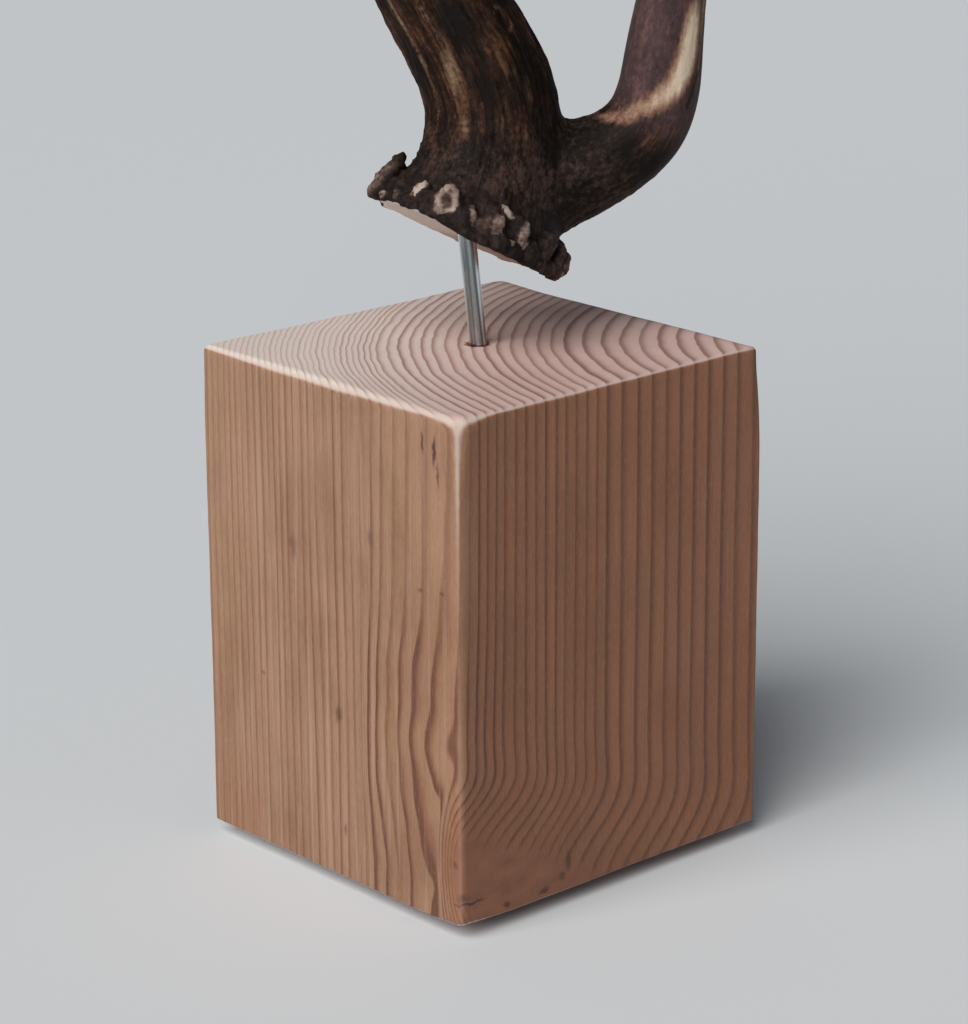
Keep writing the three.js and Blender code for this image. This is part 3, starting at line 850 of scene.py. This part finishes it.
ROUND_PULL = 0.6  # of the way to its neighbours' mean that a corner goes in a round, at most


def smooth_out(mesh, points, share, rounds):
    """Draws each corner towards the mean of its neighbours, by its share."""
    edges = np.empty(len(mesh.edges) * 2, int)
    mesh.edges.foreach_get("vertices", edges)
    a, b = edges.reshape(-1, 2).T
    near = share > 0.01
    share = share * near
    kept = near[a] | near[b]
    a, b = a[kept], b[kept]
    count = np.bincount(a, minlength=len(points)) + np.bincount(b, minlength=len(points))
    count = np.maximum(count, 1)[:, None]
    for _ in range(rounds):
        total = np.column_stack([
            np.bincount(a, points[b, i], len(points)) + np.bincount(b, points[a, i], len(points))
            for i in range(3)
        ])
        points = points + (total / count - points) * share[:, None] * ROUND_PULL
    return points


LIP = {"begins": (236, 276), "ends": (345, 358), "depth": 1.9}  # degrees round the burr, and mm
ROUGH_CUT = 0.3


def saw_off(points):
    """Lifts what hangs below the sawn face to it, but for a broken lip left in front."""
    across = (points - CUT_MIDDLE) @ np.array(burr_frame)[:3, :3]
    turn = np.degrees(np.arctan2(across[:, 1], across[:, 0])) % 360
    lip = smooth(*LIP["begins"], turn) * (1 - smooth(*LIP["ends"], turn))
    lowest = -ROUGH_CUT - LIP["depth"] * lip
    return points + np.maximum(lowest - across[:, 2], 0)[:, None] * 0.9 * np.array(cut_up)


# Streaks in the skin: distances along a limb, angles round it in degrees, half width in mm and strength.
CREAM_STREAK = [
    (30, 186, 3.4, 0.26), (34, 206, 4.0, 0.34), (39, 236, 4.8, 0.42), (45, 262, 5.4, 0.52),
    (52, 278, 6.0, 0.62), (55.5, 295, 6.0, 0.74), (59, 310, 6.0, 0.92), (62, 323, 6.0, 1.05),
    (66, 332, 6.0, 1.12), (71, 339, 6.0, 1.15), (78, 342, 5.8, 1.12), (82, 343, 5.4, 1.0),
    (86, 345, 5.0, 0.62), (100, 350, 4.5, 0.6), (130, 352, 7.0, 1.0),
]
DARK_STREAK = [(57, -12, 0.8, 0.8), (66, 4, 0.8, 1.0), (73, 8, 0.8, 0.4)]
OCHRE_STREAKS = [
    [(38, 217, 1.6, 0.2), (44, 218, 2.2, 0.5), (56, 221, 2.5, 0.5), (70, 222, 2.5, 0.58),
     (110, 222, 3.0, 0.5), (190, 220, 3.6, 0.3)],
    [(34, 247, 3.0, 0.2), (39, 248, 3.6, 0.7), (45, 247, 3.6, 0.5), (52, 246, 4.2, 0.62),
     (59, 248, 4.4, 0.85), (66, 252, 3.6, 0.5), (76, 250, 3.6, 0.5), (130, 250, 4.6, 0.5),
     (230, 262, 5.0, 0.35)],
    [(34, 270, 3.0, 0.2), (40, 278, 4.0, 0.36), (47, 286, 3.6, 0.1), (50, 294, 3.8, 0.3),
     (60, 295, 3.4, 0.26), (90, 300, 3.6, 0.25), (210, 310, 4.0, 0.3)],
    [(60, 60, 3.0, 0.2), (120, 70, 4.6, 0.5), (260, 58, 4.6, 0.4)],
    [(70, 130, 3.0, 0.2), (150, 122, 4.6, 0.5), (330, 140, 4.0, 0.3)],
]
SOOTY_STREAKS = [
    [(46, 264, 3.0, 0.3), (52, 268, 4.0, 0.8), (58, 266, 4.0, 0.6), (66, 270, 5.0, 0.9), (76, 272, 4.0, 0.4)],
    [(24, 262, 5.0, 0.3), (34, 232, 4.0, 0.4), (46, 230, 3.0, 0.6), (70, 236, 3.0, 0.5),
     (130, 234, 4.0, 0.4)],
]
BROW_OCHRE = [
    (56, 0, 2.0, 0.2), (64, 6, 3.4, 0.7), (82, 10, 3.6, 0.8), (100, 14, 3.6, 0.7), (140, 15, 3.5, 0.4),
]
EYELET = {"along": 65, "angle": 315, "half": (3.4, 2.3), "strength": 0.36}  # an oval scar, its rim pale
BEAM_GIRTH, TINE_GIRTH = 17.0, 10.0  # radius at which what is drawn round a limb has its true size


def streak(path, along, angle, girth):
    """The streak's strength at each point: full in its middle and none past its width."""
    places, turns, widths, strengths = np.array(path, float).T
    strength = np.zeros(len(along))
    for place in np.linspace(places[0], places[-1], 90):
        away = angle - math.radians(np.interp(place, places, turns))
        away = girth * np.abs(np.remainder(away + math.pi, 2 * math.pi) - math.pi)
        apart = np.hypot(along - place, away) / np.interp(place, places, widths)
        strength = np.maximum(strength, np.interp(place, places, strengths) * (1 - smooth(0.0, 1.0, apart)))
    return strength


# Lump sizes of the skin's relief across a limb, across it again and along it, and a seed.
RELIEF = {
    "ridges": ((1.8, 1.8, 17), 21), "furrows": ((1.4, 1.4, 11), 31), "fine": ((0.8, 0.8, 4), 41),
    "lumps": ((5, 5, 11), 51), "beads": ((1.4, 1.4, 1.8), 61),
}
TWIST = 0.004  # radians that the flutes turn in a mm


def relief(owner, along, angle):
    """The skin's furrows, ridges and beads, in mm, and how smooth it is, 0 to 1."""
    height, smoothness = np.zeros(len(along)), np.zeros(len(along))
    for n, limb in enumerate(limbs):
        on = owner == n
        s, t = along[on], angle[on]
        girth = BEAM_GIRTH if limb is beam else TINE_GIRTH
        skin = np.column_stack([girth * np.cos(t), girth * np.sin(t), s])
        form = {name: noise(skin, size, seed + n) for name, (size, seed) in RELIEF.items()}
        ridges = 1 - 2.4 * np.abs(form["ridges"])
        furrows = np.clip(form["furrows"] - 0.1, 0, 1)
        beads = np.clip(form["beads"] - 0.15, 0, 1)
        turned = t + TWIST * s
        flutes = np.cos(limb.flutes * turned) + 0.5 * np.cos((limb.flutes - 3) * turned + s / 35)
        if limb is beam:
            bare = smooth(0.72, 0.98, s / limb.length)
            beaded = 1 - smooth(26, 48, s) + 0.3 * smooth(44, 90, s) * (1 - smooth(150, 420, s))
        elif limb is brow:
            bare = 0.45 + 0.35 * smooth(20, 50, s) + 0.2 * smooth(90, 150, s)
            beaded = 0.5 * (1 - smooth(26, 52, s))
        else:
            bare = smooth(0.1, 0.75, s / limb.length)
            beaded = 0.2 * (1 - s / limb.length)
        fade = np.minimum(1, np.interp(s, limb.along, limb.radius) / 8)
        rough = 0.26 * ridges - 0.75 * furrows + 0.2 * form["fine"] + 0.3 * form["lumps"] - 0.1
        rough = (1 - bare) * (1 - 0.5 * beaded) * rough
        height[on] = fade * (limb.flute_depth * (flutes / 1.5 - 0.4) + rough + beaded * beads)
        smoothness[on] = bare
    return height, smoothness


def near_pearls(points):
    """For each point: how far it is from the nearest pearl in that pearl's half sizes, how pale, how sunk."""
    flat = np.array(burr_frame.inverted())
    local = points @ flat[:3, :3].T + flat[:3, 3]
    nearest, paleness, sunk = np.full(len(points), 9.0), np.zeros(len(points)), np.zeros(len(points))
    for angle, distance, height, halves, onward, inward, pale, hollow in pearl_list():
        a = math.radians(angle)
        middle = np.array((distance * math.cos(a), distance * math.sin(a), height))
        away = (local - middle) @ np.array(pearl_turn(angle, onward, inward)) / halves
        apart = np.linalg.norm(away, axis=1)
        facing = smooth(-0.1, 0.7, away[:, 0])
        inner = 1 - smooth(0.25, 0.62, np.hypot(away[:, 1], away[:, 2]))
        closer = apart < nearest
        nearest = np.where(closer, apart, nearest)
        paleness = np.where(closer, pale * facing * (1 - 0.5 * inner * (hollow > 0)), paleness)
        sunk = np.where(closer, hollow * inner * facing, sunk)
    return nearest, paleness, sunk, local


def skin_values(points, normals):
    """What the skin's shape and paint are worked out from, at each point."""
    owner, along, angle, gap = read_limbs(points)
    height, smoothness = relief(owner, along, angle)
    apart, pale, sunk, local = near_pearls(points)
    seal = smooth(0.6, 0.9, -normals @ np.array(cut_up)) * (1 - smooth(0.3, 1.0, np.abs(local[:, 2])))
    seal *= 1 - smooth(25, 27, np.hypot(local[:, 0], local[:, 1]))
    on_pearl = 1 - smooth(1.0, 1.35, apart)
    height *= (0.35 + 0.65 * smooth(0, 8, gap)) * (1 - 0.6 * on_pearl) * (1 - seal)
    height *= 0.45 + 0.55 * smooth(-1, 1, local[:, 2])
    pits = noise(points, 1.9, 72) + 0.6 * noise(points, 1.0, 73)
    height += 0.12 * seal * noise(points, 1.7, 71) + on_pearl * (1 - seal) * (0.55 * pits - sunk)
    dark = np.where(owner == BROW, streak(DARK_STREAK, along, angle, TINE_GIRTH), 0)
    return owner, along, angle, height - 0.3 * dark, smoothness, pale * on_pearl, seal, local, dark


def update_corners(mesh, points):
    """Moves the mesh's corners there, and gives their new normals."""
    mesh.vertices.foreach_set("co", points.ravel())
    mesh.update()
    normals = np.empty(len(points) * 3)
    mesh.vertex_normals.foreach_get("vector", normals)
    return normals.reshape(-1, 3)


BURR_FADES = (8, 17)  # heights over the cut
BROW_DUSK = (34, 66)  # along the brow tine, where its bark turns into a smooth dusky skin


def paint_values(mesh, owner, along, angle, smoothness):
    """Stores where the bark's grain runs, where it is rubbed bare, and its streaks."""
    girth = np.where(owner == BEAM, BEAM_GIRTH, TINE_GIRTH)
    set_values(mesh, "grain", np.column_stack([
        girth * np.cos(angle) + 40 * owner, girth * np.sin(angle), along,
    ]), "FLOAT_VECTOR")

    def of_limb(on_beam, on_brow, elsewhere):
        return np.select([owner == BEAM, owner == BROW], [on_beam, on_brow], elsewhere)

    def on_tine(path):
        return streak(path, along, angle, TINE_GIRTH)

    def on_beam(paths):
        return np.max([streak(path, along, angle, BEAM_GIRTH) for path in paths], axis=0)

    share = along / np.array([limb.length for limb in limbs])[owner]
    set_values(mesh, "bare", of_limb(
        smooth(0.74, 0.97, share), smooth(0.5, 0.88, share), smooth(0.3, 0.85, share)))
    set_values(mesh, "dusk", of_limb(0, smooth(*BROW_DUSK, along), smoothness))
    set_values(mesh, "cream", of_limb(0, on_tine(CREAM_STREAK), 0))
    turned = np.remainder(angle - math.radians(EYELET["angle"]) + math.pi, 2 * math.pi) - math.pi
    oval = np.hypot((along - EYELET["along"]) / EYELET["half"][0], girth * turned / EYELET["half"][1])
    scar = EYELET["strength"] * smooth(0.6, 0.95, oval) * (1 - smooth(1.05, 1.5, oval))
    ochre = np.maximum(on_beam(OCHRE_STREAKS), scar) - on_beam(SOOTY_STREAKS)
    set_values(mesh, "ochre", of_limb(ochre, on_tine(BROW_OCHRE), 0))


VOXEL = 0.62  # of the mesh in which limbs and pearls are grown together
IN_FORK = (2, 13)  # heights over beam and branch between which the smoothing of a fork fades out
ABOVE_BURR = (9, 16)  # heights over the cut between which it fades in
FORK_ROUNDS = 110
TRIANGLES = 186000
# Where on the beam and the brow tine the triangles grow larger, and how much the foot is thinned.
THINNED_FROM = {"beam": (120, 190), "brow": (70, 130)}
FOOT_THINNED = 0.15


def antler_skin(material):
    """The whole antler as one skin: limbs and pearls grown together, furrowed, and drilled for the rod."""
    corners, faces = [], []
    for limb in limbs:
        points, loops = limb.tube()
        start = sum(len(c) for c in corners)
        faces += [[start + i for i in loop] for loop in loops]
        corners.append(points)
    pearls = grown_pearls(material)
    start = sum(len(c) for c in corners)
    faces += [[start + i for i in face.vertices] for face in pearls.data.polygons]
    corners.append(corners_of(pearls.data))
    bpy.data.objects.remove(pearls)
    skin = new_object("antler_skin", np.vstack(corners), faces)
    grown = skin.modifiers.new("grown together", "REMESH")
    grown.mode, grown.voxel_size, grown.use_smooth_shade = "VOXEL", VOXEL, True
    bake_modifiers(skin)

    points = corners_of(skin.data)
    gap = read_limbs(points)[3]
    above = (points - CUT_MIDDLE) @ np.array(cut_up)
    in_fork = (1 - smooth(*IN_FORK, gap)) * smooth(*ABOVE_BURR, above)
    points = smooth_out(skin.data, points, in_fork, FORK_ROUNDS)
    points = saw_off(smooth_out(skin.data, points, np.full(len(points), 0.8), 2))
    normals = update_corners(skin.data, points)
    owner, along, angle, height, *_ = skin_values(points, normals)
    update_corners(skin.data, saw_off(points + normals * height[:, None]))

    # Fewer triangles, most of them kept where the antler is seen closest, at its foot and brow tine.
    group = skin.vertex_groups.new(name="thinned")
    foot = np.select([owner == BEAM, owner == BROW], [
        1 - smooth(*THINNED_FROM["beam"], along), 1 - smooth(*THINNED_FROM["brow"], along),
    ])
    for level in (FOOT_THINNED, 1.0):
        group.add(np.nonzero((foot > 0.5) == (level < 1))[0].tolist(), level, "REPLACE")
    triangles = sum(len(face.vertices) - 2 for face in skin.data.polygons)
    thin = skin.modifiers.new("thinned", "DECIMATE")
    thin.ratio, thin.vertex_group, thin.vertex_group_factor = TRIANGLES / triangles, group.name, 1.0
    bake_modifiers(skin)
    points = corners_of(skin.data)
    normals = update_corners(skin.data, points)
    owner, along, angle, height, smoothness, pale, seal, local, dark = skin_values(points, normals)
    paint_values(skin.data, owner, along, angle, smoothness)
    set_values(skin.data, "height", height - 1.5 * dark)
    set_values(skin.data, "pale", pale)
    set_values(skin.data, "seal", seal)
    set_values(skin.data, "burr", 1 - smooth(*BURR_FADES, local[:, 2]))
    skin.data.transform(antler_frame @ Matrix.Scale(MM, 4))
    skin.data.shade_smooth()
    cut_out(skin, round_bar("drill", rod_foot, rod_way, [
        (10 * MM, hole_radius), (ROD["showing"] + ROD["in_antler"] + HOLE_ROOM, hole_radius),
    ]))
    return skin


# The bark's colours, each from its darkest to its palest.
SOOTY_BARK = (0.15, (0.005, 0.0033, 0.0027)), (0.5, (0.0108, 0.0064, 0.0046)), (0.9, (0.040, 0.024, 0.018))
RUSTY_BARK = (0.15, (0.0065, 0.0030, 0.0020)), (0.5, (0.025, 0.0108, 0.0058)), (0.9, (0.105, 0.046, 0.023))
OCHRE_BARK = (0.2, (0.048, 0.025, 0.013)), (0.5, (0.115, 0.066, 0.038)), (0.85, (0.27, 0.185, 0.13))
DUSKY_SKIN = (0.36, (0.028, 0.018, 0.019)), (0.56, (0.070, 0.040, 0.041)), (0.78, (0.155, 0.082, 0.074))
RUBBED_BONE = (
    (0.15, (0.085, 0.042, 0.030)), (0.4, (0.185, 0.098, 0.066)), (0.64, (0.36, 0.235, 0.165)),
    (0.9, (0.62, 0.50, 0.375)),
)
BARE_TIP = (
    (0.1, (0.075, 0.038, 0.025)), (0.42, (0.21, 0.125, 0.078)), (0.7, (0.42, 0.30, 0.20)),
    (1.0, (0.60, 0.50, 0.37)),
)
PEARL = (
    (0.0, (0.013, 0.009, 0.008)), (0.22, (0.032, 0.020, 0.017)), (0.5, (0.10, 0.062, 0.048)),
    (0.75, (0.29, 0.215, 0.175)), (1.0, (0.50, 0.42, 0.365)),
)
SAWN_BONE = (
    (0.2, (0.20, 0.11, 0.085)), (0.45, (0.38, 0.245, 0.195)), (0.62, (0.51, 0.385, 0.325)),
    (0.9, (0.72, 0.62, 0.56)),
)
FOOT_DUST = (0.068, 0.040, 0.034)


def antler_bark():
    """Bark-brown furrowed bone: black in the furrows, brown on the ridges, cream where it is rubbed."""
    material, wire = new_material("antler bark")
    grain = wire.value("grain", "Vector")
    round_x, round_y, along = grain.parts()
    foot = 1 - along.rise(24, 46)
    height, bare, dusk, burr = (wire.value(name) for name in ("height", "bare", "dusk", "burr"))
    streaks = grain.noise((2.0, 2.0, 16), 3.0, 0.6)
    strands = grain.noise((0.7, 0.7, 10), 2.0, 0.6)
    patches = grain.noise((7, 7, 14), 3.0)
    specks = grain.noise((1.1, 1.1, 1.9), 3.0, 0.7)

    # The beam: black furrows, dark brown ridges, browner patches in front, and dust on its foot.
    stain = wire.value("ochre")
    front = (round_x * -0.65 - round_y).rise(2.0, 16.0)
    brown = (patches * 2.0 + front * 0.5 + stain * 0.4 - foot * 0.55 - 0.88).rise(0.0, 0.6)
    lines = ((streaks - 0.5) * 1.1 + (strands - 0.5) * 0.8) * (1 - foot * 0.7)
    ridge = height * 0.35 + stain * 0.25 + lines + (patches - 0.5) * 0.7 + 0.48
    ridge = ridge + (specks - 0.5) * (1.0 + foot * 0.9)
    bark = ridge.ramp(*SOOTY_BARK).blend(brown, ridge.ramp(*RUSTY_BARK))
    dust = (specks * 0.7 + patches * 0.6 - 0.55).rise(0.0, 0.35) * foot
    bark = bark.blend(dust * 0.7, FOOT_DUST)

    # The tines: a smooth dusky skin, and on it and the bark some ochre streaks.
    skin = (patches * 0.5 + specks * 0.5 + streaks * 0.3 + height * 0.25 - 0.08).ramp(*DUSKY_SKIN)
    ochre = stain + (streaks - 0.5) * 1.1 + (specks - 0.5) * 0.8 + (patches - 0.5) * 0.5 - 0.12
    colour = bark.blend(dusk.rise(0.1, 0.9), skin).blend(ochre.rise(0.12, 0.5), ochre.ramp(*OCHRE_BARK))

    # Where they are rubbed: a streak down to the cream bone, and the tips.
    rubbed = wire.value("cream") + (streaks - 0.5) * 0.45 + (specks - 0.5) * 0.5 + (patches - 0.5) * 0.3 - 0.1
    colour = colour.blend(rubbed.rise(0.05, 0.45), rubbed.ramp(*RUBBED_BONE))
    tips = bare * 1.15 + (streaks - 0.5) * 0.9 + (strands - 0.5) * 0.5 + (patches - 0.5) * 0.5 - 0.12
    colour = colour.blend(tips.rise(0.05, 0.6), tips.ramp(*BARE_TIP))

    # The burr: dusty pearls, some of them worn pale and two with a painted glint, and the sawn face below,
    # paler on the left.
    worn = wire.value("pale") + (specks - 0.5) * 0.9 + (streaks - 0.5) * 0.4 + (patches - 0.5) * 0.5
    colour = colour.blend(burr * 0.85, worn.ramp(*PEARL))
    marrow = (round_x * -1.0).rise(-4.0, 14.0) * 0.35 + grain.noise((1.0, 1.0, 1.0), 3.0, 0.7) * 1.3 - 0.15
    colour = colour.blend(wire.value("seal").rise(0.3, 0.7), marrow.ramp(*SAWN_BONE))

    tooth = strands * 0.5 + specks * 0.7
    bump = wire.make("Bump", {}, {"Strength": 0.7, "Distance": 0.0003, "Height": tooth})
    finish_material(wire, {
        "Base Color": colour,
        "Roughness": 0.62 - bare * 0.15 + (specks - 0.5) * 0.3,
        "Specular IOR Level": 0.1,
        "Normal": bump,
    })
    return material


bark = antler_bark()
antler = antler_skin(bark)
antler.data.materials.clear()
antler.data.materials.append(bark)
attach(antler, "root")
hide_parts("antler_beam", "brow_tine", "trez_tine", "fork_tine")

# ---- The studio ----------------------------------------------------------------------------------------
# A plain pale floor, a large soft light on the left, and a camera that looks down a little at the front
# corner of the block.

FLOOR_SIZE = 14.0
floor = new_object("floor", [
    (-FLOOR_SIZE, -FLOOR_SIZE, 0), (FLOOR_SIZE, -FLOOR_SIZE, 0), (FLOOR_SIZE, FLOOR_SIZE, 0),
    (-FLOOR_SIZE, FLOOR_SIZE, 0),
], [(0, 1, 2, 3)])
floor_paint, wire = new_material("floor paint")
finish_material(wire, {"Base Color": (0.70, 0.725, 0.745), "Roughness": 0.75})
floor.data.materials.append(floor_paint)

# A sun, seen under an angle in degrees that makes its shadows soft.
KEY_LIGHT = {"place": (-2.0, -0.5, 2.0), "target": (0, 0, 0.2), "strength": 3.3, "seen_under": 50}
lamp = bpy.data.lights.new("key light", "SUN")
lamp.energy, lamp.angle = KEY_LIGHT["strength"], math.radians(KEY_LIGHT["seen_under"])
lamp.color = (1.0, 0.985, 0.965)
key_light = bpy.data.objects.new("key light", lamp)
key_light.location = KEY_LIGHT["place"]
key_light.rotation_mode = "QUATERNION"
key_way = Vector(KEY_LIGHT["target"]) - Vector(KEY_LIGHT["place"])
key_light.rotation_quaternion = key_way.to_track_quat("-Z", "Y")
bpy.context.scene.collection.objects.link(key_light)

world = bpy.data.worlds.new("studio air")
world.use_nodes = True
world.node_tree.nodes["Background"].inputs["Color"].default_value = (0.82, 0.9, 1.0, 1)
world.node_tree.nodes["Background"].inputs["Strength"].default_value = 0.13
bpy.context.scene.world = world
bpy.context.scene.view_settings.view_transform = "Standard"

CAMERA = {"place": (-0.645955, -0.715185, 0.402495), "yaw": 42.11, "pitch": 17.42, "roll": -0.31}
LENS = 123.02  # mm, on a sensor 36 mm on its longer side
yaw, pitch, roll = (math.radians(CAMERA[k]) for k in ("yaw", "pitch", "roll"))
ahead = Vector((math.sin(yaw) * math.cos(pitch), math.cos(yaw) * math.cos(pitch), -math.sin(pitch)))
level = Vector((math.cos(yaw), -math.sin(yaw), 0))
up = level.cross(ahead)
right = level * math.cos(roll) + up * math.sin(roll)
up = right.cross(ahead)
camera = bpy.data.objects.new("camera", bpy.data.cameras.new("camera"))
camera.data.lens = LENS
camera.matrix_world = Matrix((
    (right.x, up.x, -ahead.x, CAMERA["place"][0]),
    (right.y, up.y, -ahead.y, CAMERA["place"][1]),
    (right.z, up.z, -ahead.z, CAMERA["place"][2]),
    (0, 0, 0, 1),
))
bpy.context.scene.collection.objects.link(camera)
bpy.context.scene.camera = camera
